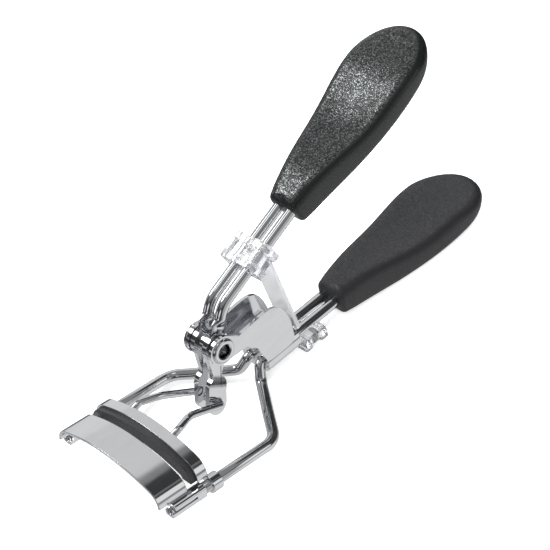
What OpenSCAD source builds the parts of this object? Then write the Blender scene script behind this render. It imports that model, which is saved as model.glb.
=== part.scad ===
// Eyelash curler: a sprung wire frame with a fixed arched plate, a padded sliding jaw,
// and a pivoting lever that drives the jaw along the frame's two rails.
// Drawn about the rails' plane (rear corners at y = 0, z = 0), then seated on a table.

/* [Jaw frame] */
// Distance from the centre plane to each rail's axis
rail_x = 16.3; // [14:0.1:20]
// Diameter of the frame wires
wire_d = 2.45; // [2:0.05:2.8]
// Length of the straight rails, from rear corner to tip
rail_len = 27.5; // [26:0.5:32]

/* [Arched plates] */
// Depth of the fixed plate, front to back
plate_depth = 7; // [5:0.5:9]
// Height of the fixed plate's crest above the rails' axes
plate_crest = 6.8; // [6:0.1:8]
// Sheet thickness of the plates
sheet = 0.6; // [0.4:0.1:0.8]
// Free gap between the pad and the plate's lip
jaw_gap = 1.4; // [1:0.1:2]

/* [Lever] */
// Distance from the pivot down to the hook's slot
arm_len = 13.1; // [12:0.1:15]
// Slope of the upper handle above the rails' plane
lever_slope = 31; // [26:1:36]
// Diameter of the lever wires
lever_d = 2.4; // [2:0.1:2.6]

/* [Handles] */
// Slope of the lower handle above the rails' plane
frame_slope = 8.8; // [8:0.1:12]
// Length of each grip
grip_len = 46.4; // [42:0.2:52]
// Width of each grip at its widest
grip_w = 18.6; // [16:0.2:24]
// Width of each grip at its neck
grip_neck = 8.2; // [7.6:0.2:10]

/* [Hidden] */
$fn = 48;

// Table attitude: the rear corners of the rails and the end of the lower grip touch the table
seat_tilt = 11.9;
seat_z = 1.2;
centre_y = 26.07;

// Pairs of wires: half spacings
frame_x = 1.7;
lever_x = 1.75;
fit = 0.02;
running = 0.05;
wire_sides = 20;

// Places in the rails' frame, as [y, z]
pivot = [-0.5, 16.7];
frame_root = [10, 6.2];
lever_root = [22.5, 37];
lower_neck = frame_root + 22.9 * [1, tan(frame_slope)];
arm_lean = 7;
hook = pivot + arm_len * [-sin(arm_lean), -cos(arm_lean)];
elbow = [2.4, lever_root[1] - (lever_root[0] - 2.4) * tan(lever_slope)];

// Pivot stack, outwards from the centre plane
flat_t = 1.2;
ear_in = 3.3;
far_in = 2.7;
ear_t = 0.8;
shank_r = 2.05;
washer_t = 0.85;
far_washer_t = 0.25;
eye_r = 3.1;

// Jaw stations along y
plate_rear = -22.4;
pad_front = plate_rear + jaw_gap;
holder_front = -19.7;
holder_rear = -17.1;
loop_len = 2.4;
sleeve_rear = -19.1;
sleeve_w = 2.6;
tip_d = 1.7;
loop_fit = 0.1;

// Grip section
grip_top = 3;
grip_under = 3.4;

black = [0.04, 0.04, 0.045];
chrome = [0.78, 0.79, 0.81];
clear_plastic = [0.85, 0.88, 0.9, 0.55];

// ---------- shared shapes ----------

// Places a child from the rails' frame onto the table
module seat() {
    translate([0, -centre_y, seat_z]) rotate([-seat_tilt, 0, 0]) children();
}

function unit(v) = v / norm(v);

// Turns +Z onto the direction d
module aim(d) {
    u = unit(d);
    rotate([0, acos(u[2]), atan2(u[1], u[0])]) children();
}

// A round rod from p to q
module rod(p, q, d) {
    translate(p) aim(q - p) cylinder(d = d, h = norm(q - p));
}

// Points that round off the corner c between the unit directions a (in) and b (out)
function rounding(c, a, b, r) =
    let (
        turn = acos(a * b),
        side = unit(b - a * (a * b)),
        start = c - a * r * tan(turn / 2)
    )
    [for (k = [0 : 0.25 : 1]) start + a * r * sin(turn * k) + side * r * (1 - cos(turn * k))];

// A path with every inner corner rounded to the radius r
function rounded(p, r) = [
    p[0],
    for (i = [1 : len(p) - 2]) each rounding(p[i], unit(p[i] - p[i - 1]), unit(p[i + 1] - p[i]), r),
    p[len(p) - 1]
];

// Corners of the cross-section at point i of a path
function section(path, i, r) =
    let (
        t = unit(path[min(i + 1, len(path) - 1)] - path[max(i - 1, 0)]),
        side = unit(cross(t, [0, 0, 1])),
        up = cross(side, t)
    )
    [for (k = [0 : wire_sides - 1])
        path[i] + r * (cos(360 * k / wire_sides) * side + sin(360 * k / wire_sides) * up)];

// A bent round wire of diameter d along a path that is never vertical
module wire(path, d) {
    n = wire_sides;
    last = n * (len(path) - 1);
    polyhedron(
        points = [for (i = [0 : len(path) - 1]) each section(path, i, d / 2)],
        faces = concat(
            [[for (k = [n - 1 : -1 : 0]) k]],
            [for (i = [0 : len(path) - 2], k = [0 : n - 1]) each [
                [i * n + k, (i + 1) * n + (k + 1) % n, (i + 1) * n + k],
                [i * n + k, i * n + (k + 1) % n, (i + 1) * n + (k + 1) % n]
            ]],
            [[for (k = [0 : n - 1]) last + k]]
        )
    );
}

// One side of an arch's outline, moved inwards by off: crown radius rho, shoulder radius r,
// half span a, shoulder height z0, legs down to the height foot
function arch_line(rho, r, a, z0, off, foot) =
    let (
        across = a - r,
        drop = sqrt(pow(rho - r, 2) - pow(across, 2)),
        half = asin(across / (rho - r)),
        shoulder = [for (k = [0 : 6]) let (t = (90 - half) * k / 6)
            [across + (r - off) * cos(t), z0 + (r - off) * sin(t)]],
        crown = [for (k = [1 : 23]) let (t = 90 - half + 2 * half * k / 24)
            [(rho - off) * cos(t), z0 - drop + (rho - off) * sin(t)]],
        other = [for (k = [6 : -1 : 0]) [-shoulder[k][0], shoulder[k][1]]]
    )
    concat([[a - off, foot]], shoulder, crown, other, [[off - a, foot]]);

// A bent strip of thickness t between the outer outline and one moved inwards, from y0 to y1
module arch(rho, r, a, z0, t, y0, y1, foot) {
    inner = arch_line(rho, r, a, z0, t, foot);
    translate([0, y1, 0]) rotate([90, 0, 0]) linear_extrude(y1 - y0)
        polygon(concat(arch_line(rho, r, a, z0, 0, foot), [for (i = [len(inner) - 1 : -1 : 0]) inner[i]]));
}

// Height z0 at which an arch of that shape has the given crest
function shoulder_z(rho, r, a, crest) = crest - rho + sqrt(pow(rho - r, 2) - pow(a - r, 2));

// Runs a child's local y along a handle that starts at [y, z] with a slope
module along(root, slope) {
    translate([0, root[0], root[1]]) rotate([slope, 0, 0]) children();
}

// ---------- frame ----------

// Handle wire, steep drop out of the clamp, low fan, rear corner, rail and thinned tip
module frame_wire() {
    grip_in = lower_neck + 12 * [cos(frame_slope), sin(frame_slope)];
    clamp_in = [frame_x, frame_root[0] + 1.9, frame_root[1] + 1.9 * tan(frame_slope)];
    rail_in = [rail_x, -4, 0];
    overlap = 0.5;
    color(chrome) seat() {
        rod([frame_x, grip_in[0], grip_in[1]], clamp_in, wire_d);
        rod([rail_x, sleeve_rear, 0], rail_in, wire_d);
        rod([rail_x, -rail_len + 0.5, 0], [rail_x, sleeve_rear + 1, 0], tip_d);
        wire(rounded([
            clamp_in + overlap * [0, 1, tan(frame_slope)],
            [frame_x + 0.05, frame_root[0] + 0.3, frame_root[1] - 0.1],
            [3.3, 8.9, 2.9],
            [9.5, 4.7, 1.4],
            [rail_x, 0.2, 0],
            rail_in - [0, overlap, 0]
        ], 1.8), wire_d - 0.02);
    }
}
module frame_wire_left() { mirror([1, 0, 0]) frame_wire(); }
module frame_wire_right() { frame_wire(); }

// Crimped sleeve over a rail's thinned tip, with a long seam on its outer side
module rail_sleeve(s) {
    length = sleeve_rear + rail_len;
    seam = 0.4;
    color(chrome) seat() difference() {
        translate([s * rail_x - sleeve_w / 2, -rail_len, -sleeve_w / 2]) cube([sleeve_w, length, sleeve_w]);
        translate([s * rail_x, 1, 0]) rotate([90, 0, 0]) cylinder(d = tip_d + 2 * fit, h = rail_len + 5);
        translate([s * (rail_x + sleeve_w / 2) - 0.3, -rail_len + 1.2, 0]) cube([0.6, length - 2.6, seam]);
    }
}
module rail_sleeve_left() { rail_sleeve(-1); }
module rail_sleeve_right() { rail_sleeve(1); }

// Fixed plate: an arched sheet that stands on the sleeves, with a turned-in lip for the pad
module front_plate() {
    rho = 44;
    r = 3.4;
    half = 16;
    z0 = shoulder_z(rho, r, half, plate_crest);
    lip = 2;
    color(chrome) seat() {
        arch(rho, r, half, z0, sheet, plate_rear - plate_depth, plate_rear, sleeve_w / 2);
        arch(rho, r, half, z0, lip, plate_rear - sheet, plate_rear, sleeve_w / 2);
    }
}

// Folded sheet: two ears for the pivot over a double clamp on the frame wires
module hinge_bracket() {
    clamp_r = 2.15;
    clamp_len = 9.4;
    clamp_from = 0.9;
    color(chrome) seat() difference() {
        union() {
            along(frame_root, frame_slope) {
                for (s = [-1, 1])
                    translate([s * frame_x, clamp_from + clamp_len, 0]) rotate([90, 0, 0])
                        cylinder(r = clamp_r, h = clamp_len);
                translate([-frame_x, clamp_from, -clamp_r])
                    cube([2 * frame_x, clamp_len, 2 * clamp_r - 0.4]);
            }
            translate([ear_in, 0, 0]) ear_blank();
            translate([-far_in - ear_t, 0, 0]) ear_blank();
        }
        translate([-10, pivot[0], pivot[1]]) rotate([0, 90, 0]) cylinder(r = shank_r + fit, h = 20);
        along(frame_root, frame_slope)
            for (s = [-1, 1])
                translate([s * frame_x, 20, 0]) rotate([90, 0, 0]) cylinder(d = wire_d + 2 * fit, h = 30);
    }
}

// One ear before its bore: the eye, a short arm and a wide rounded lobe
module ear_blank() {
    rotate([90, 0, 90]) linear_extrude(ear_t) {
        translate(pivot) circle(r = eye_r + 0.15);
        polygon([
            [0, 19.6], [3.4, 17.9], [6.4, 18.5], [12.4, 19.7], [15.9, 17.9], [18.1, 14.4], [18.6, 8.2],
            [10.9, 6.6], [9.5, 9.9], [8.4, 12.5], [6.4, 13.4], [0, 13.7]
        ]);
        translate([13.3, 16.9]) circle(r = 2.95);
    }
}

module pivot_rivet() {
    head_r = 3.4;
    rim_r = 2.8;
    tube_r = 1.45;
    ear_out = ear_in + ear_t;
    far_out = far_in + ear_t;
    color(chrome) seat() translate([0, pivot[0], pivot[1]]) rotate([0, 90, 0]) difference() {
        union() {
            translate([0, 0, -far_out - 0.6]) cylinder(r = shank_r, h = far_out + ear_out + 0.9);
            translate([0, 0, -far_out - 0.5]) cylinder(r = head_r, h = 0.5);
            translate([0, 0, -far_out - 1.3]) cylinder(r1 = head_r - 1, r2 = head_r, h = 0.8);
            translate([0, 0, ear_out]) cylinder(r1 = rim_r, r2 = rim_r - 0.5, h = 0.6);
        }
        translate([0, 0, 0.6]) cylinder(r = tube_r, h = 10);
    }
}

// A flat ring on the pivot, from x0 outwards
module pivot_ring(x0, r, t, bore) {
    color(chrome) seat() translate([x0, pivot[0], pivot[1]]) rotate([0, 90, 0]) difference() {
        cylinder(r = r, h = t);
        translate([0, 0, -1]) cylinder(r = bore, h = t + 2);
    }
}
module pivot_washer_left() { pivot_ring(-far_in, 2.9, far_washer_t, shank_r + fit); }
module pivot_washer_right() { pivot_ring(ear_in - washer_t, 2.9, washer_t, shank_r + fit); }

// ---------- lever ----------

// The lever wire's flattened lower end: an eye, a waist and a paddle with a slot
module lever_flat() {
    slot_r = 0.95;
    slot_play = 0.28;
    paddle_w = 4.7;
    rotate([-arm_lean, 0, 0]) rotate([0, 90, 0]) linear_extrude(flat_t) difference() {
        union() {
            circle(r = eye_r);
            polygon([[2, -2.3], [5.2, -2], [6.6, -1.15], [7.3, -1.15], [7.3, 1.15], [6.6, 1.15], [5.2, 2], [2, 2.3]]);
            translate([9.4, 0]) circle(d = paddle_w);
            translate([9.4, -paddle_w / 2]) square([arm_len - 9.4 + 0.6, paddle_w]);
            translate([arm_len + 0.6, 0]) circle(d = paddle_w);
        }
        circle(r = shank_r + running);
        for (k = [-1, 1]) translate([arm_len + k * slot_play, 0]) circle(r = slot_r);
        translate([arm_len - slot_play, -slot_r]) square([2 * slot_play, 2 * slot_r]);
    }
}

module lever_wire(s) {
    grip_in = lever_root + 12 * [cos(lever_slope), sin(lever_slope)];
    rise = unit(elbow - pivot);
    flat_top = pivot + 3.6 * rise;
    round_end = pivot + 5.8 * rise;
    x = s * lever_x;
    color(chrome) seat() {
        leg = unit(elbow - lever_root);
        arc = rounded([
            [x, elbow[0] - 4 * leg[0], elbow[1] - 4 * leg[1]],
            [x, elbow[0], elbow[1]],
            [x, round_end[0], round_end[1]]
        ], 3);
        rod([x, grip_in[0], grip_in[1]], [x, elbow[0] - 3.6 * leg[0], elbow[1] - 3.6 * leg[1]], lever_d);
        wire(arc, lever_d - 0.02);
        hull() {
            rod([x, round_end[0], round_end[1]], [x, round_end[0] + 0.03 * rise[0], round_end[1] + 0.03 * rise[1]],
                lever_d, $fn = 32);
            translate([x - flat_t / 2, flat_top[0], flat_top[1]]) rotate([atan2(rise[1], rise[0]), 0, 0])
                translate([0, 0, -1.75]) cube([flat_t, 0.1, 3.5]);
        }
        difference() {
            translate([x - flat_t / 2, pivot[0], pivot[1]]) rotate([atan2(rise[1], rise[0]), 0, 0])
                translate([0, 1, -1.75]) cube([flat_t, 2.65, 3.5]);
            translate([x - 2, pivot[0], pivot[1]]) rotate([0, 90, 0]) cylinder(r = shank_r + running, h = 4);
        }
        translate([x - flat_t / 2, pivot[0], pivot[1]]) lever_flat();
    }
}
module lever_wire_left() { lever_wire(-1); }
module lever_wire_right() { lever_wire(1); }

module pivot_spacer() { pivot_ring(flat_t / 2 - lever_x, 2.7, 2 * lever_x - flat_t, shank_r + running); }

// ---------- handles and spring ----------

// Half width of a grip at the distance s from its neck
function grip_half(s) =
    let (wide_at = grip_len - grip_w / 2, k = min(1, s / wide_at))
    s <= wide_at
        ? grip_neck / 2 + (grip_w - grip_neck) / 2 * (pow(k, 1.6) + 0.42 * sin(180 * k) * (k - 0.62))
        : sqrt(max(0, pow(grip_w / 2, 2) - pow(s - wide_at, 2)));

// A teardrop grip along local y, thinner towards its wide end, with two sockets for wires
module grip_solid(socket_x, socket_d) {
    steps = 30;
    side = [for (i = [0 : steps]) let (s = grip_len * sin(90 * i / steps)) [grip_half(s), s]];
    outline = concat(side, [for (i = [steps - 1 : -1 : 0]) [-side[i][0], side[i][1]]]);
    difference() {
        intersection() {
            translate([0, 0, -grip_under - 1]) linear_extrude(grip_top + grip_under + 2) polygon(outline);
            rotate([90, 0, 90]) translate([0, 0, -grip_w]) linear_extrude(2 * grip_w)
                polygon([
                    [0, -grip_under + 0.8], [0.8, -grip_under], [12, -grip_under], [grip_len - 9, -1.7],
                    [grip_len - 2.5, -1.2], [grip_len, 0], [grip_len, grip_top - 1.2],
                    [grip_len - 1.6, grip_top], [0.8, grip_top], [0, grip_top - 0.8]
                ]);
        }
        for (s = [-1, 1])
            translate([s * socket_x, 12.2, 0]) rotate([90, 0, 0]) cylinder(d = socket_d, h = 14);
    }
}

module lower_grip() {
    color(black) difference() {
        seat() along(lower_neck, frame_slope) grip_solid(frame_x, wire_d + 2 * fit);
        translate([-50, -100, -10]) cube([100, 300, 10]);
    }
}

module upper_grip() {
    color(black) seat() along(lever_root, lever_slope) grip_solid(lever_x, lever_d + 2 * fit);
}

// A clear block clipped over a pair of wires, from local y0, with two bores
module collar(y0, length, x0, x1, z0, z1, bore_x, bore_d) {
    corner = 1;
    difference() {
        hull()
            for (x = [x0 + corner, x1 - corner], z = [z0 + corner, z1 - corner])
                translate([x, y0 + length, z]) rotate([90, 0, 0]) cylinder(r = corner, h = length, $fn = 32);
        for (s = [-1, 1])
            translate([s * bore_x, y0 + length + 1, 0]) rotate([90, 0, 0]) cylinder(d = bore_d, h = length + 2);
    }
}

module spring_collar_lower() {
    color(clear_plastic) seat() along(frame_root, frame_slope)
        collar(10.6, 6.6, -3.6, 4.8, -4.2, 1.8, frame_x, wire_d + 2 * fit);
}

module spring_collar_upper() {
    color(clear_plastic) seat() along(lever_root, lever_slope)
        collar(-14.8, 6.2, -5.2, 4.8, -2.3, 2.6, lever_x, lever_d + 2 * fit);
}

// The clear leaf between the two collars, which pushes the handles apart
module spring_strip() {
    thick = 0.9;
    width = 6;
    foot = frame_root + [cos(frame_slope), sin(frame_slope)] * 11.4 + [-sin(frame_slope), cos(frame_slope)] * 1.85;
    top = lever_root - [cos(lever_slope), sin(lever_slope)] * 10.4 - [-sin(lever_slope), cos(lever_slope)] * 2.35;
    span = norm(top - foot);
    color(clear_plastic) seat() translate([-width / 2, foot[0], foot[1]])
        rotate([atan2(top[1] - foot[1], top[0] - foot[0]), 0, 0])
            translate([0, 0.15, -thick / 2]) cube([width, span - 0.3, thick]);
}

// ---------- sliding jaw ----------

holder_rho = 44;
holder_corner = 4;
holder_half = 16;
holder_crest = 7.7;

// Channel that holds the pad, with a loop at each end that runs on a rail
module pad_holder() {
    z0 = shoulder_z(holder_rho, holder_corner, holder_half, holder_crest);
    back = 0.5;
    depth = 3.4;
    loop_r = wire_d / 2 + loop_fit;
    loop_front = holder_rear - 0.4;
    color(chrome) seat() difference() {
        union() {
            arch(holder_rho, holder_corner, holder_half, z0, back, holder_front, holder_rear, z0);
            arch(holder_rho, holder_corner, holder_half, z0, depth, holder_rear - back, holder_rear, z0);
            for (s = [-1, 1])
                translate([s * rail_x, loop_front + loop_len, 0]) rotate([90, 0, 0])
                    cylinder(r = loop_r + 0.7, h = loop_len);
        }
        for (s = [-1, 1])
            translate([s * rail_x, 10, 0]) rotate([90, 0, 0]) cylinder(r = loop_r, h = 60);
        for (s = [-1, 1])
            translate([s * yoke_end[0], holder_rear + 1, yoke_end[1]]) rotate([90, 0, 0]) cylinder(d = yoke_d + 2 * fit, h = 3);
    }
}

// Arched bar of soft rubber, held in the channel and standing out in front of it
module rubber_pad() {
    inset = 0.55;
    z0 = shoulder_z(holder_rho, holder_corner, holder_half, holder_crest);
    color(black) seat()
        arch(holder_rho - inset, holder_corner - inset, holder_half - inset, z0, 2.7,
            pad_front, holder_rear - 0.55, z0);
}

yoke_d = 1.6;

// Where each yoke wire enters the holder's back, as [x, z]
yoke_end = [6.2, 6.3];

// Wire from the holder's back to the hook in the paddle's slot
module yoke_wire() {
    pin_end = [2.6, hook[0], hook[1]];
    color(chrome) seat() {
        rod([1.05, hook[0], hook[1]], pin_end, yoke_d);
        wire(rounded([
            pin_end - [0.4, 0, 0],
            [3.5, hook[0], hook[1]],
            [4.8, -11.4, 7.3],
            [yoke_end[0], -15.2, 7.3],
            [yoke_end[0], holder_rear - 0.45, yoke_end[1]]
        ], 0.82), yoke_d - 0.02);
    }
}
module yoke_wire_left() { mirror([1, 0, 0]) yoke_wire(); }
module yoke_wire_right() { yoke_wire(); }

// ---------- assembly ----------

frame_wire_left();
frame_wire_right();
rail_sleeve_left();
rail_sleeve_right();
front_plate();
hinge_bracket();
pivot_rivet();
pivot_washer_left();
pivot_washer_right();
lower_grip();
spring_collar_lower();
spring_strip();
lever_wire_left();
lever_wire_right();
pivot_spacer();
spring_collar_upper();
upper_grip();
pad_holder();
rubber_pad();
yoke_wire_left();
yoke_wire_right();
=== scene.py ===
# Looks for the eyelash curler: smooth wires, bevelled plates, sculpted grips and studio light.
# Shapes are worked out in the rails' frame, in millimetres, and placed on the table by place().
import math

import bmesh
import bpy
from mathutils import Matrix, Vector
from mathutils.geometry import tessellate_polygon


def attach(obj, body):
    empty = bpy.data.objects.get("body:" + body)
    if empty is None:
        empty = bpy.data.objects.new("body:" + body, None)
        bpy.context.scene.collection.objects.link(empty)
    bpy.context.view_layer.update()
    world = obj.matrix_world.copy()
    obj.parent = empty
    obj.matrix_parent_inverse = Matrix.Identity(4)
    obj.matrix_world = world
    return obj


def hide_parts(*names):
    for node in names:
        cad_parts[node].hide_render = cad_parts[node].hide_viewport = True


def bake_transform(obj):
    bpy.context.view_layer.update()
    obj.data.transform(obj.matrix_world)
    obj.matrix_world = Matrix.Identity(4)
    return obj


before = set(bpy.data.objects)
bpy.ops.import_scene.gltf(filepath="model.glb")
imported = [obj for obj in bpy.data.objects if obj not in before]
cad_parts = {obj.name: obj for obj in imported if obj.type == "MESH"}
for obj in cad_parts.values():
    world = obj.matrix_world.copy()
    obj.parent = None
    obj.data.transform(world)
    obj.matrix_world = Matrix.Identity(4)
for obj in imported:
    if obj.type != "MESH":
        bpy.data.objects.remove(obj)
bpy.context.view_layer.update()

# ---------- the object's numbers, in millimetres ----------

# How the rails' frame lies on the table
SEAT_TILT = math.radians(11.9)
SEAT_Z = 1.2
CENTRE_Y = 26.07

# Wires: distances from the middle plane, lengths and radii
RAIL_X = 16.3
RAIL_LEN = 27.5
WIRE_R = 1.225
TIP_R = 0.85
FRAME_X = 1.7
LEVER_X = 1.75
LEVER_R = 1.2
YOKE_R = 0.8
IN_GRIP = 12.0

# Points as (y, z), and slopes, in the middle plane
FRAME_SLOPE = math.radians(8.8)
LEVER_SLOPE = math.radians(31)
FRAME_ROOT = (10.0, 6.2)
LEVER_ROOT = (22.5, 37.0)
LOWER_NECK = (32.9, 6.2 + 22.9 * math.tan(FRAME_SLOPE))
PIVOT = (-0.5, 16.7)
ARM_LEN = 13.1
ARM_LEAN = math.radians(7)
HOOK = (PIVOT[0] - ARM_LEN * math.sin(ARM_LEAN), PIVOT[1] - ARM_LEN * math.cos(ARM_LEAN))
ELBOW = (2.4, LEVER_ROOT[1] - (LEVER_ROOT[0] - 2.4) * math.tan(LEVER_SLOPE))

# Pivot stack, from the lever's flats out to the ears
FLAT_T = 1.2
EYE_R = 3.1
SHANK_R = 2.05
EAR_IN = 3.3
EAR_T = 0.8
WASHER_T = 0.85
FAR_IN = 2.7
FAR_WASHER_T = 0.25

# Front plate, pad, holder and sleeves
SHEET = 0.6
ARCH_RHO = 44
ARCH_HALF = 16
PLATE_REAR = -22.4
PLATE_DEPTH = 7.0
PLATE_CREST = 6.8
PAD_FRONT = -21.0
HOLDER_FRONT = -19.7
HOLDER_REAR = -17.1
HOLDER_CREST = 7.7
SLEEVE_REAR = -19.1
SLEEVE_W = 2.6
YOKE_END = (6.2, 6.3)

# Grips
GRIP_LEN = 46.4
GRIP_W = 18.6
GRIP_NECK = 8.2
GRIP_TIP = 11.0
GRIP_TOP = 3.0
GRIP_UNDER = -3.4

# Gap between a hole and the round part in it
FIT = 0.02


def place(p):
    """A point of the rails' frame, in mm, as a point of the scene, in metres."""
    x, y, z = p
    c, s = math.cos(SEAT_TILT), math.sin(SEAT_TILT)
    return Vector((x, y * c + z * s - CENTRE_Y, -y * s + z * c + SEAT_Z)) / 1000


def along(root, slope):
    """Turns a handle's own (x, y, z) into the rails' frame: y runs along the handle."""
    c, s = math.cos(slope), math.sin(slope)
    return lambda p: (p[0], root[0] + p[1] * c - p[2] * s, root[1] + p[1] * s + p[2] * c)


# ---------- materials ----------


class Shader:
    """A material's node tree with short ways to add nodes."""

    def __init__(self, name):
        self.material = bpy.data.materials.new(name)
        self.material.use_nodes = True
        self.tree = self.material.node_tree
        self.bsdf = self.tree.nodes["Principled BSDF"]

    def set(self, **values):
        for key, value in values.items():
            self.bsdf.inputs[key.replace("_", " ")].default_value = value

    def node(self, kind, inputs=None, **settings):
        node = self.tree.nodes.new(kind)
        for key, value in settings.items():
            setattr(node, key, value)
        for key, value in (inputs or {}).items():
            if isinstance(value, bpy.types.NodeSocket):
                self.tree.links.new(value, node.inputs[key])
            else:
                node.inputs[key].default_value = value
        return node

    def link(self, socket, name):
        self.tree.links.new(socket, self.bsdf.inputs[name])

    def noise(self, scale, detail=2.0, stretch=(1, 1, 1)):
        spot = self.node("ShaderNodeTexCoord").outputs["Object"]
        spot = self.node("ShaderNodeMapping", {"Vector": spot, "Scale": stretch}).outputs["Vector"]
        inputs = {"Vector": spot, "Scale": scale, "Detail": detail}
        return self.node("ShaderNodeTexNoise", inputs).outputs["Fac"]

    def ramp(self, fac, low, high, a, b):
        """a where fac is low, b where it is high, and even steps between."""
        node = self.node("ShaderNodeMapRange", {0: fac, 1: low, 2: high, 3: a, 4: b})
        return node.outputs[0]

    def math(self, operation, a, b):
        return self.node("ShaderNodeMath", {0: a, 1: b}, operation=operation).outputs[0]

    def tint(self, fac, a, b):
        """The colour a where fac is 0, b where it is 1; inputs 6 and 7 are the node's colours."""
        node = self.node("ShaderNodeMix", {0: fac, 6: (*a, 1), 7: (*b, 1)}, data_type="RGBA")
        return node.outputs[2]

    def bump(self, height, distance, strength=1.0):
        inputs = {"Height": height, "Distance": distance, "Strength": strength}
        self.link(self.node("ShaderNodeBump", inputs).outputs[0], "Normal")


def chrome_material(name, roughness):
    """Polished plating: faint waviness, and thin smears that dull it a little."""
    m = Shader(name)
    m.set(Metallic=1.0)
    smear = m.noise(420, 3, (1, 0.4, 1))
    m.link(m.tint(smear, (0.70, 0.71, 0.735), (0.80, 0.81, 0.825)), "Base Color")
    m.link(m.ramp(smear, 0.3, 0.7, roughness, roughness + 0.06), "Roughness")
    m.bump(m.noise(260, 1), 0.00004, 0.25)
    return m.material


def grip_material(name, flake, base, shine):
    """Moulded plastic with a fine grain, and metal flakes where the attribute top is 1."""
    cells_per_metre = 5200
    m = Shader(name)
    spot = m.node("ShaderNodeTexCoord").outputs["Object"]
    top = m.node("ShaderNodeAttribute", attribute_name="top").outputs["Fac"]
    cells = m.node("ShaderNodeTexVoronoi", {"Vector": spot, "Scale": cells_per_metre})
    glint = m.node("ShaderNodeSeparateColor", {"Color": cells.outputs["Color"]}).outputs
    bright = m.math("MULTIPLY", m.ramp(glint[0], 0.55, 1.0, 0, flake), top)
    m.link(m.tint(bright, base, (0.62, 0.66, 0.66)), "Base Color")
    m.link(m.ramp(bright, 0, 0.3, 0, 1), "Metallic")
    rough = m.ramp(glint[1], 0, 1, shine - 0.1, shine + 0.12)
    m.link(rough, "Roughness")
    grain = m.math("ADD", glint[2], m.noise(2400, 2))
    height = m.math("MULTIPLY", grain, m.ramp(top, 0, 1, 0.25, 1.0))
    m.bump(height, 0.00006, 0.9)
    return m.material


def clear_material(name, clearness, tone):
    """Clear moulded plastic with faint flow lines; a lower clearness makes it milky."""
    m = Shader(name)
    m.set(Base_Color=(tone, tone * 1.01, tone * 1.03, 1), IOR=1.42, Transmission_Weight=clearness)
    m.link(m.ramp(m.noise(380, 2), 0.3, 0.7, 0.04, 0.16), "Roughness")
    m.bump(m.noise(300, 2, (1, 3, 1)), 0.0002, 0.5)
    return m.material


def rubber_material(name):
    """Matt black rubber with faint smears."""
    m = Shader(name)
    smear = m.noise(900, 3)
    m.link(m.tint(smear, (0.012, 0.012, 0.013), (0.035, 0.035, 0.038)), "Base Color")
    m.link(m.ramp(smear, 0.3, 0.7, 0.34, 0.5), "Roughness")
    m.bump(m.noise(3500, 2), 0.00002, 0.6)
    return m.material


CHROME = chrome_material("chrome_polished", 0.05)
CHROME_SHEET = chrome_material("chrome_sheet", 0.055)
SPECKLED = grip_material("grip_speckled", 0.62, (0.006, 0.007, 0.007), 0.24)
SATIN = grip_material("grip_satin", 0.05, (0.014, 0.014, 0.016), 0.46)
CLEAR = clear_material("clear_plastic", 0.95, 0.82)
CLEAR_LEAF = clear_material("clear_leaf", 0.55, 0.66)
RUBBER = rubber_material("pad_rubber")


# ---------- making pieces ----------


def new_mesh(name, verts, faces):
    """A mesh from points in the rails' frame, in millimetres."""
    mesh = bpy.data.meshes.new(name)
    mesh.from_pydata([place(v) for v in verts], [], faces)
    return mesh


def close_mesh(mesh, material, weld):
    """Turns the faces outwards, joins points that meet if weld is true, and shades smooth."""
    shape = bmesh.new()
    shape.from_mesh(mesh)
    if weld:
        bmesh.ops.remove_doubles(shape, verts=shape.verts, dist=1e-6)
    bmesh.ops.recalc_face_normals(shape, faces=shape.faces)
    shape.to_mesh(mesh)
    shape.free()
    mesh.materials.append(material)
    mesh.shade_smooth()


def stand_in(name, mesh, node, body):
    """An object that stands for a CAD node and rides on a body, if it has one."""
    piece = bpy.data.objects.new(name, mesh)
    bpy.context.collection.objects.link(piece)
    if body:
        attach(piece, body)
    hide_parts(node)
    return piece


def add_piece(name, node, body, slot, material, verts, faces, bevel=0.0, sharp=32):
    """A smooth closed piece; edges over the sharp angle are bevelled by bevel millimetres."""
    mesh = new_mesh(name, verts, faces)
    close_mesh(mesh, material, weld=True)
    mesh.set_sharp_from_angle(angle=math.radians(sharp))
    piece = stand_in(name, mesh, node, body)
    if bevel:
        edge = piece.modifiers.new("Edges", "BEVEL")
        edge.width = bevel / 1000
        edge.segments = 3
        edge.limit_method = "ANGLE"
        edge.angle_limit = math.radians(sharp)
        edge.harden_normals = True
    return piece


def rounded(points, radii, steps=10):
    """A path with its inner corners rounded, each to its own radius."""
    pts = [Vector(p) for p in points]
    path = [pts[0]]
    for before, corner, after, radius in zip(pts, pts[1:], pts[2:], radii):
        a = (corner - before).normalized()
        b = (after - corner).normalized()
        turn = a.angle(b)
        side = (b - a * a.dot(b)).normalized()
        start = corner - a * radius * math.tan(turn / 2)
        for k in range(steps + 1):
            t = turn * k / steps
            path.append(start + a * radius * math.sin(t) + side * radius * (1 - math.cos(t)))
    path.append(pts[-1])
    return path


def ring_of(centre, side, up, half_side, half_up, count):
    """Points round an ellipse that lies across a path."""
    turns = (2 * math.pi * k / count for k in range(count))
    return [centre + side * half_side * math.cos(t) + up * half_up * math.sin(t) for t in turns]


def frames(path):
    """A side and an up direction at each point of a path, without twist."""
    ways = []
    for i in range(len(path)):
        ways.append((path[min(i + 1, len(path) - 1)] - path[max(i - 1, 0)]).normalized())
    side = ways[0].cross(Vector((0, 0, 1))).normalized()
    result = []
    for way in ways:
        side = (side - way * side.dot(way)).normalized()
        result.append((side, way.cross(side)))
    return result


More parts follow.
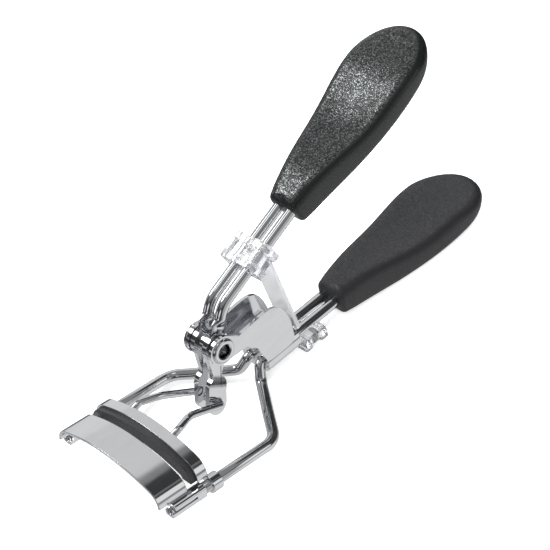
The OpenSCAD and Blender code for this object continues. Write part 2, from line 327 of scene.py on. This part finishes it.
def skin(rings, closed_ends=True):
    """Faces between rings of equal length, with a cap at each end."""
    n = len(rings[0])
    verts = [tuple(v) for ring in rings for v in ring]
    faces = []
    for i in range(len(rings) - 1):
        for k in range(n):
            j = (k + 1) % n
            faces.append((i * n + k, i * n + j, (i + 1) * n + j, (i + 1) * n + k))
    if closed_ends:
        faces.append(tuple(range(n - 1, -1, -1)))
        faces.append(tuple((len(rings) - 1) * n + k for k in range(n)))
    return verts, faces


def tube(path, radius, count, edge=0.18):
    """A round bar along a path, with its end edges cut off at 45 degrees."""
    sides = frames(path)
    rings = [ring_of(p, side, up, radius, radius, count) for p, (side, up) in zip(path, sides)]
    for index, step in ((0, 1), (-1, -1)):
        way = (path[index + step] - path[index]).normalized()
        side, up = sides[index]
        inner = ring_of(path[index] + way * edge, side, up, radius, radius, count)
        outer = ring_of(path[index], side, up, radius - edge, radius - edge, count)
        if index == 0:
            rings = [outer, inner] + rings[1:]
        else:
            rings = rings[:-1] + [inner, outer]
    return skin(rings)


def join(*parts):
    """Several shells as one list of points and faces."""
    verts, faces = [], []
    for part_verts, part_faces in parts:
        shift = len(verts)
        verts += part_verts
        faces += [tuple(i + shift for i in face) for face in part_faces]
    return verts, faces


def mirrored(part):
    """The same part on the other side of the middle plane."""
    verts, faces = part
    return [(-x, y, z) for x, y, z in verts], faces


def strip_solid(outer, inner, spot, low, high):
    """A bent strip between two open lines; spot(a, b, t) gives a point at height t."""
    rings = []
    for a, b in zip(outer, inner):
        rings.append([spot(*a, low), spot(*a, high), spot(*b, high), spot(*b, low)])
    return skin(rings)


def extrude_with_holes(outline, holes, spot, low, high):
    """A slab from low to high with an outline and holes, all closed 2-D loops."""
    loops = [clean(loop) for loop in [outline, *holes]]
    fill = tessellate_polygon([[Vector((a, b, 0)) for a, b in loop] for loop in loops])
    flat = [p for loop in loops for p in loop]
    verts = [spot(a, b, t) for t in (low, high) for a, b in flat]
    n = len(flat)
    faces = [tuple(tri) for tri in fill] + [tuple(i + n for i in reversed(tri)) for tri in fill]
    first = 0
    for loop in loops:
        for k in range(len(loop)):
            i, j = first + k, first + (k + 1) % len(loop)
            faces.append((i, j, j + n, i + n))
        first += len(loop)
    return verts, faces


def circle(radius, centre=(0, 0), count=40, start=0.0, end=360.0):
    """Points on a circle, or on an arc with both its ends."""
    whole = abs(end - start) >= 360
    last = count if whole else count - 1
    turns = [math.radians(start + (end - start) * k / last) for k in range(count)]
    return [(centre[0] + radius * math.cos(t), centre[1] + radius * math.sin(t)) for t in turns]


def lathe(profile, spot, count=48):
    """A turned solid; profile lists (along, radius), and spot(a, x, y) gives a point."""
    return skin([[spot(a, x, y) for x, y in circle(r, count=count)] for a, r in profile])


# ---------- wires ----------


def frame_wire():
    """Handle wire, fan and rail in one, and the thinner rail tip inside the sleeve."""
    below_root = 0.12
    fan_foot, fan_knee = (3.3, 8.9, 2.9), (9.5, 4.7, 1.4)
    bend = rounded([
        along(LOWER_NECK, FRAME_SLOPE)((FRAME_X, IN_GRIP, 0)),
        (FRAME_X + 0.05, FRAME_ROOT[0] + 0.3, FRAME_ROOT[1] + 0.3 * math.tan(FRAME_SLOPE) - below_root),
        fan_foot,
        fan_knee,
        (RAIL_X, 0.2, 0),
        (RAIL_X, SLEEVE_REAR - 0.5, 0),
    ], radii=(1.6, 2.6, 4.6, 4.4), steps=12)
    rear, front = Vector((RAIL_X, SLEEVE_REAR + 1, 0)), Vector((RAIL_X, -RAIL_LEN + 0.6, 0))
    return join(tube(bend, WIRE_R, 28), tube([rear, (rear + front) / 2, front], TIP_R, 20))


def yoke_wire():
    """Thin wire from the hook in the lever's paddle to the back of the pad holder."""
    hook_end, hook_bend = 1.05, 3.5
    shoulder, knee = (4.8, -11.4, 7.3), (YOKE_END[0], -15.2, 7.3)
    path = rounded([
        (hook_end, *HOOK),
        (hook_bend, *HOOK),
        shoulder,
        knee,
        (YOKE_END[0], HOLDER_REAR - 0.45, YOKE_END[1]),
    ], radii=(0.85, 5.0, 1.5))
    return tube(path, YOKE_R - 0.005, 20)


def paddle_outline():
    """Outline of the flattened end: eye, waist and paddle, as (down the arm, across)."""
    half = 2.35
    top, end = 9.3, ARM_LEN + 0.6
    side = circle(EYE_R, (0, 0), 24, 180, 48)
    side += [(4.2, 1.75), (5.4, 1.45), (6.2, 1.15), (6.9, 1.15)]
    side += circle(half, (top, 0), 8, 160, 90)
    side += circle(half, (end, 0), 12, 90, 0)
    return side + [(a, -b) for a, b in reversed(side[1:-1])]


def slot_outline():
    """The slot that the yoke wire hooks into."""
    half, play = 0.95, 0.28
    low_end = circle(half, (ARM_LEN + play, 0), 12, -90, 90)
    return low_end + circle(half, (ARM_LEN - play, 0), 12, 90, 270)


def lever_flat(x):
    """The flattened end as a sheet with its two holes."""
    c, s = math.cos(ARM_LEAN), math.sin(ARM_LEAN)

    def spot(a, b, t):
        return (x + t, PIVOT[0] - a * s + b * c, PIVOT[1] - a * c - b * s)

    holes = [circle(SHANK_R + 0.05, count=36), slot_outline()]
    return extrude_with_holes(paddle_outline(), holes, spot, -FLAT_T / 2, FLAT_T / 2)


def lever_wire(x):
    """Round wire that bends over the pivot and flattens into the eye."""
    start = along(LEVER_ROOT, LEVER_SLOPE)((x, IN_GRIP, 0))
    rise = Vector((0, ELBOW[0] - PIVOT[0], ELBOW[1] - PIVOT[1])).normalized()
    pivot = Vector((x, PIVOT[0], PIVOT[1]))
    round_end, flat_end, foot = 6.4, 4.4, 2.45
    flat_across, flat_wide = FLAT_T / 2 - 0.02, 2.2
    bend_r, steps = 6.0, 14
    path = rounded([start, (x, *ELBOW), pivot + rise * round_end], (bend_r,), steps)
    path += [pivot + rise * (round_end + (foot - round_end) * k / steps) for k in range(1, steps + 1)]
    rings = []
    for point, (side, up) in zip(path, frames(path)):
        k = min(1.0, max(0.0, (round_end - (point - pivot).length) / (round_end - flat_end)))
        k = k * k * (3 - 2 * k)
        across = LEVER_R + (flat_across - LEVER_R) * k
        wide = LEVER_R + (flat_wide - LEVER_R) * k
        rings.append(ring_of(point, side, up, across, wide, 28))
    return join(skin(rings), lever_flat(x))


def add_wires():
    """Three wires on each side; the lever's two are alike and the others are mirrored."""
    for side, turn in (("right", lambda p: p), ("left", mirrored)):
        add_piece("smooth_frame_wire_" + side, "frame_wire_" + side, "frame", "chrome", CHROME,
                  *turn(frame_wire()), sharp=50)
        add_piece("smooth_yoke_wire_" + side, "yoke_wire_" + side, "jaw", "chrome", CHROME,
                  *turn(yoke_wire()), sharp=50)
        x = LEVER_X if side == "right" else -LEVER_X
        add_piece("smooth_lever_wire_" + side, "lever_wire_" + side, "lever", "chrome", CHROME,
                  *lever_wire(x), bevel=0.16, sharp=40)


# ---------- arched plates ----------


def arch_line(r, z0, inset, foot):
    """Outline of an arch from its right foot to its left foot, as (x, z)."""
    across = ARCH_HALF - r
    drop = math.sqrt((ARCH_RHO - r) ** 2 - across ** 2)
    lean = math.degrees(math.asin(across / (ARCH_RHO - r)))
    shoulder = circle(r - inset, (across, z0), 9, 0, 90 - lean)
    crown = circle(ARCH_RHO - inset, (0, z0 - drop), 48, 90 - lean, 90 + lean)
    other = [(-x, z) for x, z in reversed(shoulder)]
    end = ARCH_HALF - inset
    return [(end, foot)] + shoulder + crown[1:-1] + other + [(-end, foot)]


def shoulder_z(r, crest):
    """Height of the shoulders' centres under a crest."""
    return crest - ARCH_RHO + math.sqrt((ARCH_RHO - r) ** 2 - (ARCH_HALF - r) ** 2)


def arch(r, z0, thick, y0, y1, foot, inset=0.0):
    """An arched sheet from y0 to y1 with shoulders of radius r; its feet stand at foot."""
    outer = arch_line(r, z0, inset, foot)
    inner = arch_line(r, z0, inset + thick, foot)
    if foot == z0:
        outer, inner = outer[1:-1], inner[1:-1]
    return strip_solid(outer, inner, lambda a, b, t: (a, t, b), y0, y1)


def add_front_plate():
    """The fixed plate and the lip turned in along its rear edge."""
    r, lip_depth, lip_inset = 3.4, 2.0, 0.3
    z0 = shoulder_z(r, PLATE_CREST)
    foot = SLEEVE_W / 2
    shell = arch(r, z0, SHEET, PLATE_REAR - PLATE_DEPTH, PLATE_REAR, foot)
    lip = arch(r, z0, lip_depth - lip_inset, PLATE_REAR - SHEET, PLATE_REAR, foot, lip_inset)
    add_piece("bevelled_front_plate", "front_plate", "frame", "chrome", CHROME_SHEET,
              *join(shell, lip), bevel=0.16)


def add_jaw():
    """The pad holder, an angle with a loop at each end, and the rubber pad in it."""
    r, back = 4, 0.5
    web_depth, web_inset = 3.1, 0.25
    pad_depth, pad_inset = 2.7, 0.55
    z0 = shoulder_z(r, HOLDER_CREST)
    top = arch(r, z0, back, HOLDER_FRONT, HOLDER_REAR, z0)
    web = arch(r, z0, web_depth, HOLDER_REAR - back, HOLDER_REAR, z0, web_inset)
    loops = [loop_ring(s * RAIL_X) for s in (-1, 1)]
    add_piece("bevelled_pad_holder", "pad_holder", "jaw", "chrome", CHROME_SHEET,
              *join(top, web, *loops), bevel=0.15)
    pad = arch(r, z0, pad_depth, PAD_FRONT, HOLDER_REAR - pad_inset, z0, pad_inset)
    add_piece("soft_rubber_pad", "rubber_pad", "jaw", "pad_rubber", RUBBER, *pad, bevel=0.45)


def loop_ring(x):
    """One of the holder's loops: its sheet curls over a rail and under it."""
    inner = WIRE_R + 0.1
    outer = inner + 0.55
    front, rear = HOLDER_REAR - 0.4, HOLDER_REAR + 2.0
    s = math.copysign(1, x)
    lines = [circle(r, (0, 0), 30, 165, -140) for r in (outer, inner)]
    return strip_solid(*lines, lambda a, b, t: (x + s * a, t, b), front, rear)


# ---------- sleeves, bracket and pivot ----------


def add_sleeves():
    """The tubes on the rail tips, under the front plate's feet."""
    for s, side in ((1, "right"), (-1, "left")):
        add_piece("rail_tube_" + side, "rail_sleeve_" + side, "frame", "chrome", CHROME,
                  *sleeve(s), bevel=0.14, sharp=35)


def sleeve(s):
    """A crimped tube: open along a slit on its outer side, cut back on top at the front."""
    half = SLEEVE_W / 2
    corner = 0.55
    slit_low, slit_high = -0.12, 0.34
    bore = TIP_R + FIT
    low_turn = math.degrees(math.asin(slit_low / bore))
    high_turn = math.degrees(math.asin(slit_high / bore))
    lip_end, slit_end = -RAIL_LEN + 0.8, SLEEVE_REAR - 2.2
    c = half - corner
    centres = (((c, c), 0), ((-c, c), 90), ((-c, -c), 180), ((c, -c), 270))
    corners = [circle(corner, centre, 6, start, start + 90) for centre, start in centres]
    square = sum(corners, [])

    def spot(a, b, t):
        return (s * (RAIL_X + a), t, b)

    lip = [(-half, slit_low)] + corners[2] + corners[3] + [(half, slit_low)]
    lip += circle(bore, (0, 0), 16, low_turn, -180 - low_turn)
    open_tube = [(half, slit_high)] + square + [(half, slit_low)]
    open_tube += circle(bore, (0, 0), 30, low_turn, high_turn - 360)
    return join(
        extrude_with_holes(lip, [], spot, -RAIL_LEN, lip_end),
        extrude_with_holes(open_tube, [], spot, lip_end, slit_end),
        extrude_with_holes(square, [circle(bore, count=30)], spot, slit_end, SLEEVE_REAR),
    )


def clean(loop):
    """The closed loop without points that repeat."""
    result = []
    for p in loop:
        if not result or math.dist(p, result[-1]) > 1e-3:
            result.append(p)
    if math.dist(result[0], result[-1]) < 1e-3:
        result.pop()
    return result


def smooth_loop(points, radius, steps=5):
    """A closed 2-D outline with its corners rounded by up to a radius."""
    count = len(points)
    result = []
    for i in range(count):
        p, c, q = (Vector(points[(i + k) % count]) for k in (-1, 0, 1))
        a, b = (c - p), (q - c)
        cut = min(radius, a.length * 0.45, b.length * 0.45)
        start, end = c - a.normalized() * cut, c + b.normalized() * cut
        for k in range(steps + 1):
            t = k / steps
            result.append(tuple(start * (1 - t) ** 2 + c * 2 * t * (1 - t) + end * t ** 2))
    return result


def ear_outline():
    """The ear as (y, z): the eye, a short arm and a wide rounded lobe."""
    eye = EYE_R + 0.15
    arm = [(3.4, 17.9), (6.4, 18.5), (10.2, 19.45), (12.9, 19.75), (15.2, 18.95), (16.5, 17.2),
           (17.9, 14.0), (18.7, 8.5), (10.9, 7.3), (9.5, 9.9), (8.4, 12.5), (6.4, 13.4)]
    first_corner = 3
    return smooth_loop(arm, 1.6)[first_corner:] + circle(eye, PIVOT, 26, -62, 64 - 360)


def add_bracket():
    """Two ears and the clamp below them, in one folded sheet."""
    parts = []
    hole = circle(SHANK_R + FIT, PIVOT, 36)
    for low in (EAR_IN, -FAR_IN - EAR_T):
        ear = extrude_with_holes(ear_outline(), [hole], lambda a, b, t: (t, a, b), low, low + EAR_T)
        parts.append(ear)
    parts.append(clamp())
    add_piece("folded_hinge_bracket", "hinge_bracket", "frame", "chrome", CHROME_SHEET,
              *join(*parts), bevel=0.14, sharp=35)


def clamp():
    """The folded sheet round the two frame wires, dipped between them on top."""
    turn = along(FRAME_ROOT, FRAME_SLOPE)
    outer = 2.5
    front, rear = 0.9, 10.3
    slope_end, dip = (FRAME_X - 0.9, outer - 0.55), (0.5, outer - 0.75)
    shape = circle(outer, (FRAME_X, 0), 18, -90, 100)
    shape += [slope_end, dip, (-dip[0], dip[1]), (-slope_end[0], slope_end[1])]
    shape += circle(outer, (-FRAME_X, 0), 18, 80, 270)
    holes = [circle(WIRE_R + FIT, (s * FRAME_X, 0), 28) for s in (-1, 1)]
    return extrude_with_holes(shape, holes, lambda a, b, t: turn((a, t, b)), front, rear)


def on_pivot(a, x, y):
    """A point that is a along the pivot's axis and (x, y) away from it."""
    return (a, PIVOT[0] + x, PIVOT[1] + y)


def add_pivot():
    """The rivet, with a domed far head and a rolled near rim, its washers and the spacer."""
    near, far = EAR_IN + EAR_T, -FAR_IN - EAR_T
    head_r, head_edge, dome_h = 3.4, 0.45, 0.85
    rim_r, rim_h, tube_r = 0.62, 0.6, 1.45
    washer_r, spacer_r = 2.5, 2.35
    dome = [(far - head_edge - dome_h * math.sin(math.radians(t)), head_r * math.cos(math.radians(t)))
            for t in (88, 75, 62, 48, 35, 22, 10, 0)]
    shank = [(far - 0.1, head_r), (far, head_r - 0.15), (far, SHANK_R), (near, SHANK_R), (near, 2.72)]
    rim = [(near + rim_h * math.sin(math.radians(t)), SHANK_R + 0.1 + rim_r * math.cos(math.radians(t)))
           for t in (0, 20, 45, 70, 90)]
    bore = [(near + 0.55, 1.75), (near + 0.3, tube_r + 0.05), (near, tube_r), (0.6, tube_r)]
    add_piece("turned_rivet", "pivot_rivet", "frame", "chrome", CHROME,
              *lathe(dome + shank + rim + bore, on_pivot))
    for side, low, thick in (("left", -FAR_IN, FAR_WASHER_T), ("right", EAR_IN - WASHER_T, WASHER_T)):
        add_piece("washer_" + side, "pivot_washer_" + side, "frame", "chrome", CHROME,
                  *ring_solid(low, thick, washer_r, SHANK_R + FIT))
    add_piece("spacer_ring", "pivot_spacer", "lever", "chrome", CHROME,
              *ring_solid(FLAT_T / 2 - LEVER_X, 2 * LEVER_X - FLAT_T, spacer_r, SHANK_R + 0.05))


def ring_solid(low, thick, outer, inner):
    """A washer with small chamfers."""
    c = min(0.12, thick / 3)
    high = low + thick
    section = [(low + c, outer), (high - c, outer), (high, outer - c), (high, inner + c),
               (high - c, inner), (low + c, inner), (low, inner + c), (low, outer - c)]
    rings = [[on_pivot(a, x, y) for x, y in circle(r, count=48)] for a, r in section]
    return skin(rings + rings[:1], closed_ends=False)


# ---------- grips ----------


def half_width(s):
    """Half the grip's width at a distance s from its neck."""
    wide_at = GRIP_LEN - GRIP_TIP
    k = min(1.0, max(0.0, s / wide_at))
    if s > wide_at:
        return GRIP_W / 2 * math.sqrt(max(0.0, 1 - ((s - wide_at) / GRIP_TIP) ** 2))
    grow = math.sin(math.pi / 2 * k ** 1.2)
    return GRIP_NECK / 2 + (GRIP_W - GRIP_NECK) / 2 * grow


def grip_outline():
    """The teardrop seen from above, as (x, s), from the middle of the neck round to it again."""
    corner = 1.3
    neck = half_width(0)
    side = [(neck * k / 6, 0.0) for k in range(5)]
    side += circle(corner, (neck - corner, corner), 7, -80, 0)
    steps = 54
    for k in range(1, steps + 1):
        s = corner + (GRIP_LEN - corner) * math.sin(math.pi / 2 * k / steps)
        side.append((half_width(s), s))
    return side + [(-x, s) for x, s in reversed(side[1:-1])]


def grip_top_z(x, s):
    """Height of the upper face: two long waves along it, a hollow across, a slight rise at the tip."""
    wave_h, first_crest, wave_len = 0.55, 0.16, 0.62
    k = s / GRIP_LEN
    wave = wave_h * (math.cos(2 * math.pi * (k - first_crest) / wave_len) - 0.1)
    wave *= min(1.0, max(0.0, 4 * (0.95 - k)))
    across = x / max(3.0, half_width(s))
    hollow = 0.75 * (across * across - 0.35) * math.sin(math.pi * min(1.0, k))
    rise = 0.1 * max(0.0, (k - 0.7) / 0.3)
    return GRIP_TOP + wave + hollow + rise


def grip_under_z(s):
    """Height of the lower face, which rises towards the tip."""
    k = s / GRIP_LEN
    return GRIP_UNDER + 3.5 * min(1.0, max(0.0, (k - 0.3) / 0.7)) ** 1.7


def above_table(p):
    """The point, lifted to the table's top where it would be below it."""
    x, y, z = p
    return (x, y, max(z, y * math.tan(SEAT_TILT) - SEAT_Z / math.cos(SEAT_TILT)))


def grip(root, slope):
    """The grip as rings that run from the middle of its top, over the edge, to the middle below."""
    turn = along(root, slope)
    outline = grip_outline()
    spine_start, spine_end = 3.0, GRIP_LEN - GRIP_W / 2
    top_keep, under_keep = 2.6, 2.2
    # (how far in from the outline, how far below the top or above the underside)
    edge = [(2.9, 0.0), (1.9, 0.08), (1.15, 0.3), (0.55, 0.7), (0.15, 1.25), (0.0, 2.0)]
    below = [(0.12, 1.2), (0.3, 0.7), (0.62, 0.28), (1.2, 0.04), (2.2, 0.0)]
    rings, tops = [], []

    def ring(inset_of, height_of, shade):
        loop = []
        for x, s in outline:
            spine = min(max(s, spine_start), spine_end)
            reach = math.hypot(x, s - spine)
            keep = max(0.0, 1 - inset_of(reach) / reach)
            px, ps = x * keep, spine + (s - spine) * keep
            loop.append(above_table(turn((px, ps, height_of(px, ps)))))
        rings.append(loop)
        tops.extend([shade] * len(loop))

    def share_in(share, keep):
        return lambda reach: keep + (reach - keep) * share if reach > keep else keep * share

    def fixed_in(inset):
        return lambda reach: min(inset, reach * 0.7)

    for share in (0.9, 0.72, 0.54, 0.38, 0.24):
        ring(share_in(share, top_keep), grip_top_z, 1.0)
    for inset, drop in edge:
        ring(fixed_in(inset), lambda x, s, d=drop: grip_top_z(x, s) - d, 1.0 if drop < 0.2 else 0.0)
    for inset, rise in below:
        ring(fixed_in(inset), lambda x, s, d=rise: grip_under_z(s) + d, 0.0)
    for share in (0.4, 0.75):
        ring(share_in(share, under_keep), lambda x, s: grip_under_z(s), 0.0)
    verts, faces = skin(rings, closed_ends=False)
    count = len(outline)
    for first in (0, count * (len(rings) - 1)):
        for k in range(count // 2):
            a, b = k, k + 1
            c, d = count - k - 1, (count - k) % count
            faces.append(tuple(dict.fromkeys(first + i for i in (a, b, c, d))))
    return verts, faces, tops


def add_grip(name, node, body, material, root, slope):
    """A grip with the attribute top, which is 1 on its upper face."""
    verts, faces, tops = grip(root, slope)
    mesh = new_mesh(name, verts, faces)
    shade = mesh.attributes.new("top", "FLOAT", "POINT")
    shade.data.foreach_set("value", tops)
    close_mesh(mesh, material, weld=False)
    piece = stand_in(name, mesh, node, body)
    smooth = piece.modifiers.new("Smooth", "SUBSURF")
    smooth.levels = smooth.render_levels = 1


def add_grips():
    """A speckled grip on the lever and a satin one on the frame."""
    add_grip("sculpted_upper_grip", "upper_grip", "lever", SPECKLED,
             LEVER_ROOT, LEVER_SLOPE)
    add_grip("sculpted_lower_grip", "lower_grip", "frame", SATIN,
             LOWER_NECK, FRAME_SLOPE)


# ---------- clear spring ----------


def collar(turn, y0, length, x0, x1, z0, z1, bore_x, bore_r):
    """A moulded block with rounded corners and a raised rim at each end.

    It has two bores where it reaches round the wires.
    """
    corner = 1.0
    rim = length * 0.26
    waist_in = 0.4

    def block(inset, a, b):
        outline = []
        for cx, cz, start in ((x1, z1, 0), (x0, z1, 90), (x0, z0, 180), (x1, z0, 270)):
            mx = cx - math.copysign(corner + inset, cx - (x0 + x1) / 2)
            mz = cz - math.copysign(corner + inset, cz - (z0 + z1) / 2)
            outline += circle(corner, (mx, mz), 6, start, start + 90)
        holes = [] if z1 < bore_r else [circle(bore_r, (s * bore_x, 0), 24) for s in (-1, 1)]
        return extrude_with_holes(outline, holes, lambda p, q, t: turn((p, t, q)), a, b)

    end = y0 + length
    return join(
        block(0, y0, y0 + rim),
        block(waist_in, y0 + rim, end - rim),
        block(0, end - rim, end),
    )


def add_spring():
    """The clear spring: a collar on each pair of handle wires, and the strip between them."""
    by_frame = along(FRAME_ROOT, FRAME_SLOPE)
    by_lever = along(LEVER_ROOT, LEVER_SLOPE)
    lower = collar(by_frame, y0=10.9, length=6.0, x0=-2.4, x1=4.8, z0=-4.2, z1=-0.7,
                   bore_x=FRAME_X, bore_r=WIRE_R + FIT)
    add_piece("moulded_collar_lower", "spring_collar_lower", "frame", "clear_plastic", CLEAR,
              *lower, bevel=0.2)
    upper = collar(by_lever, y0=-14.8, length=6.2, x0=-5.2, x1=4.8, z0=-2.3, z1=2.6,
                   bore_x=LEVER_X, bore_r=LEVER_R + FIT)
    add_piece("moulded_collar_upper", "spring_collar_upper", "lever", "clear_plastic", CLEAR,
              *upper, bevel=0.2)
    foot = Vector(by_frame((0, 11.4, 1.85)))
    head = Vector(by_lever((0, -10.4, -2.35)))
    half_thick, half_wide = 0.45, 3.0
    gap, steps = 0.15, 24
    way = (head - foot).normalized()
    across = Vector((0, -way.z, way.y))
    section = [(-half_wide, -half_thick), (half_wide, -half_thick),
               (half_wide, half_thick), (-half_wide, half_thick)]
    rings = []
    for k in range(steps + 1):
        middle = foot + way * (gap + ((head - foot).length - 2 * gap) * k / steps)
        rings.append([middle + Vector((a, 0, 0)) + across * b for a, b in section])
    verts, faces = skin(rings)
    leaf = add_piece("clear_leaf_spring", "spring_strip", None, "clear_plastic", CLEAR_LEAF,
                     verts, faces)
    tuple(place(foot))
    tuple(place(head))
    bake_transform(leaf)


# ---------- camera, floor and light ----------


def add_camera():
    """A long lens above the near rail, rolled so that the handles point up to the right."""
    data = bpy.data.cameras.new("camera")
    data.lens = 100.9
    data.sensor_width = 36
    data.clip_start = 0.01
    camera = bpy.data.objects.new("camera", data)
    bpy.context.collection.objects.link(camera)
    spot = Vector((0.2003, -0.1324, 0.2264))
    target = Vector((-0.00923, 0.00261, 0.01076))
    roll = math.radians(-17.81)
    turn = (target - spot).to_track_quat("-Z", "Y").to_matrix() @ Matrix.Rotation(roll, 3, "Z")
    camera.matrix_world = Matrix.Translation(spot) @ turn.to_4x4()
    bpy.context.scene.camera = camera


def add_floor():
    """A pale floor just under the table plane; reflections don't see it."""
    size, depth = 3.0, 0.0002
    corners = [(-size, -size, 0), (size, -size, 0), (size, size, 0), (-size, size, 0)]
    mesh = bpy.data.meshes.new("floor")
    mesh.from_pydata(corners, [], [(0, 1, 2, 3)])
    material = bpy.data.materials.new("pale_floor")
    material.use_nodes = True
    tree = material.node_tree
    bsdf = tree.nodes["Principled BSDF"]
    bsdf.inputs["Base Color"].default_value = (0.9, 0.9, 0.9, 1)
    bsdf.inputs["Roughness"].default_value = 0.9
    bsdf.inputs["Specular IOR Level"].default_value = 0.0
    bsdf.inputs["Emission Color"].default_value = (1, 1, 1, 1)
    bsdf.inputs["Emission Strength"].default_value = 0.45
    mesh.materials.append(material)
    floor = bpy.data.objects.new("floor", mesh)
    bpy.context.collection.objects.link(floor)
    floor.location.z = -depth
    floor.visible_glossy = False


def area_light(name, spot, size, power, target=(0, 0, 0.02)):
    """A soft light that reflections don't see, because the panels below are there for them."""
    data = bpy.data.lights.new(name, "AREA")
    data.shape = "RECTANGLE"
    data.size, data.size_y = size
    data.energy = power
    light = bpy.data.objects.new(name, data)
    bpy.context.collection.objects.link(light)
    light.location = spot
    light.rotation_euler = (Vector(target) - Vector(spot)).to_track_quat("-Z", "Y").to_euler()
    light.visible_glossy = False


# What reflections see, later over earlier: direction, half angle, softness, brightness
PANELS = [
    ((0.0, 0.0, -1.0), 52, 30, 0.60),
    ((0.0, 0.0, 1.0), 38, 24, 0.26),
    ((0.66, 0.42, -0.62), 20, 14, 0.80),
    ((-0.84, 0.46, 0.28), 17, 5, 0.78),
    ((-0.60, 0.56, 0.57), 19, 4, 0.70),
    ((0.12, 0.60, 0.78), 18, 1.5, 0.05),
    ((0.0, -0.15, 1.0), 7, 3, 1.3),
    ((-0.64, -0.25, 0.73), 8, 7, 4.6),
    ((1.0, 0.0, 0.05), 18, 14, 0.45),
    ((-1.0, -0.1, 0.05), 18, 14, 0.45),
    ((0.86, 0.42, 0.25), 13, 4, 0.9),
    ((0.35, -0.9, 0.35), 10, 4, 0.9),
    ((-0.5, -0.8, 0.2), 8, 3, 0.8),
]
ROOM = 0.05


def add_world():
    """White to the camera; to reflections a dark room with bright and dark panels."""
    world = bpy.data.worlds.new("studio")
    bpy.context.scene.world = world
    world.use_nodes = True
    tree = world.node_tree
    tree.nodes.clear()
    spot = tree.nodes.new("ShaderNodeTexCoord").outputs["Generated"]
    factor, lower, upper = 0, 2, 3
    value = None
    for direction, half, soft, level in PANELS:
        dot = tree.nodes.new("ShaderNodeVectorMath")
        dot.operation = "DOT_PRODUCT"
        tree.links.new(spot, dot.inputs[0])
        dot.inputs[1].default_value = Vector(direction).normalized()
        mask = tree.nodes.new("ShaderNodeMapRange")
        mask.interpolation_type = "SMOOTHSTEP"
        tree.links.new(dot.outputs["Value"], mask.inputs[0])
        mask.inputs["From Min"].default_value = math.cos(math.radians(half + soft))
        mask.inputs["From Max"].default_value = math.cos(math.radians(half))
        mix = tree.nodes.new("ShaderNodeMix")
        tree.links.new(mask.outputs[0], mix.inputs[factor])
        if value is None:
            mix.inputs[lower].default_value = ROOM
        else:
            tree.links.new(value, mix.inputs[lower])
        mix.inputs[upper].default_value = level
        value = mix.outputs[0]
    room = tree.nodes.new("ShaderNodeBackground")
    tree.links.new(value, room.inputs["Color"])
    white = tree.nodes.new("ShaderNodeBackground")
    white.inputs["Color"].default_value = (1, 1, 1, 1)
    path = tree.nodes.new("ShaderNodeLightPath")
    both = tree.nodes.new("ShaderNodeMixShader")
    tree.links.new(path.outputs["Is Camera Ray"], both.inputs[0])
    tree.links.new(room.outputs[0], both.inputs[1])
    tree.links.new(white.outputs[0], both.inputs[2])
    output = tree.nodes.new("ShaderNodeOutputWorld")
    tree.links.new(both.outputs[0], output.inputs["Surface"])


def add_lights():
    """Three soft lights round the object."""
    area_light("key", (-0.35, -0.05, 0.5), (0.22, 0.3), 4)
    area_light("fill", (0.3, -0.35, 0.35), (0.4, 0.3), 2.5)
    area_light("back", (0.05, 0.5, 0.35), (0.4, 0.2), 2.5)


add_wires()
add_front_plate()
add_jaw()
add_sleeves()
add_bracket()
add_pivot()
add_grips()
add_spring()
add_camera()
add_floor()
add_world()
add_lights()
bpy.context.scene.view_settings.view_transform = "Standard"
